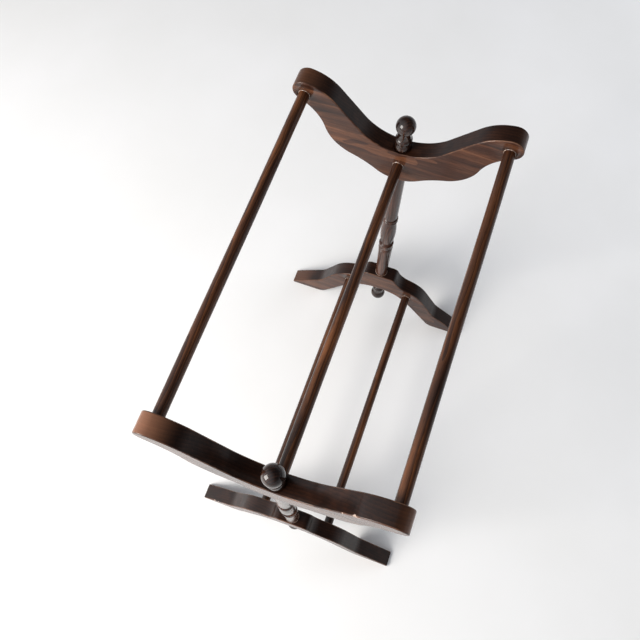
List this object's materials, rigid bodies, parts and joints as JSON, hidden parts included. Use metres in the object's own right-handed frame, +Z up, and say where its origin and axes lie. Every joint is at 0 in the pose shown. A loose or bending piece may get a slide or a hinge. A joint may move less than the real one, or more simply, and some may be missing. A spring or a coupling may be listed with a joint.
{
  "type": "quilt rack",
  "caption": "Free-standing wooden quilt rack: two wavy arms on turned posts and arched feet, joined by round dowel rails, with ball finials above and below.",
  "frame": {"origin": "on the floor, under the middle of the rack", "axes": "+X along the rails towards the far end, +Y towards the left side rail, +Z up"},
  "size_m": [0.634, 0.454, 0.797],
  "materials": {
    "stained_board": "dark walnut stain under gloss lacquer",
    "stained_turning": "dark walnut stain under gloss lacquer",
    "stained_dowel": "dark walnut stain under gloss lacquer",
    "zinc_plated_steel": "zinc plated",
    "brass": "machined"
  },
  "bodies": {
    "root": {"arm_near": "stained_board", "arm_far": "stained_board", "foot_near": "stained_board", "foot_far": "stained_board", "post_near": "stained_turning", "post_far": "stained_turning", "side_rail_left": "stained_dowel", "side_rail_right": "stained_dowel", "centre_rail": "stained_dowel", "stretcher_left": "stained_dowel", "stretcher_right": "stained_dowel", "hanger_bolt_top_near": "zinc_plated_steel", "hanger_bolt_top_far": "zinc_plated_steel", "hanger_bolt_bottom_near": "zinc_plated_steel", "hanger_bolt_bottom_far": "zinc_plated_steel"},
    "threaded_insert_top_near": {"threaded_insert_top_near": "brass"},
    "finial_near": {"finial_near": "stained_turning"},
    "threaded_insert_top_far": {"threaded_insert_top_far": "brass"},
    "finial_far": {"finial_far": "stained_turning"},
    "threaded_insert_bottom_near": {"threaded_insert_bottom_near": "brass"},
    "drop_finial_near": {"drop_finial_near": "stained_turning"},
    "threaded_insert_bottom_far": {"threaded_insert_bottom_far": "brass"},
    "drop_finial_far": {"drop_finial_far": "stained_turning"}
  },
  "joints": [
    {"name": "finial_near_travel", "type": "slide", "parent": "root", "child": "threaded_insert_top_near", "axis": [0, 0, 1], "range_m": [0, 0.01199]},
    {"name": "finial_near_turn", "type": "hinge", "parent": "threaded_insert_top_near", "child": "finial_near", "pos_m": [-0.3, 0, 0.6856], "axis": [0, 0, 1], "range_deg": [0, 3060]},
    {"name": "finial_far_travel", "type": "slide", "parent": "root", "child": "threaded_insert_top_far", "axis": [0, 0, 1], "range_m": [0, 0.01199]},
    {"name": "finial_far_turn", "type": "hinge", "parent": "threaded_insert_top_far", "child": "finial_far", "pos_m": [0.3, 0, 0.6856], "axis": [0, 0, 1], "range_deg": [0, 3060]},
    {"name": "drop_finial_near_travel", "type": "slide", "parent": "root", "child": "threaded_insert_bottom_near", "axis": [0, 0, -1], "range_m": [0, 0.01199]},
    {"name": "drop_finial_near_turn", "type": "hinge", "parent": "threaded_insert_bottom_near", "child": "drop_finial_near", "pos_m": [-0.3, 0, 0.1284], "axis": [0, 0, -1], "range_deg": [0, 3060]},
    {"name": "drop_finial_far_travel", "type": "slide", "parent": "root", "child": "threaded_insert_bottom_far", "axis": [0, 0, -1], "range_m": [0, 0.01199]},
    {"name": "drop_finial_far_turn", "type": "hinge", "parent": "threaded_insert_bottom_far", "child": "drop_finial_far", "pos_m": [0.3, 0, 0.1284], "axis": [0, 0, -1], "range_deg": [0, 3060]}
  ],
  "couplings": [
    {"joint": "finial_near_turn", "follows": "finial_near_travel", "rad_per_m": 4452.7},
    {"joint": "finial_far_turn", "follows": "finial_far_travel", "rad_per_m": 4452.7},
    {"joint": "drop_finial_near_turn", "follows": "drop_finial_near_travel", "rad_per_m": 4452.7},
    {"joint": "drop_finial_far_turn", "follows": "drop_finial_far_travel", "rad_per_m": 4452.7}
  ]
}
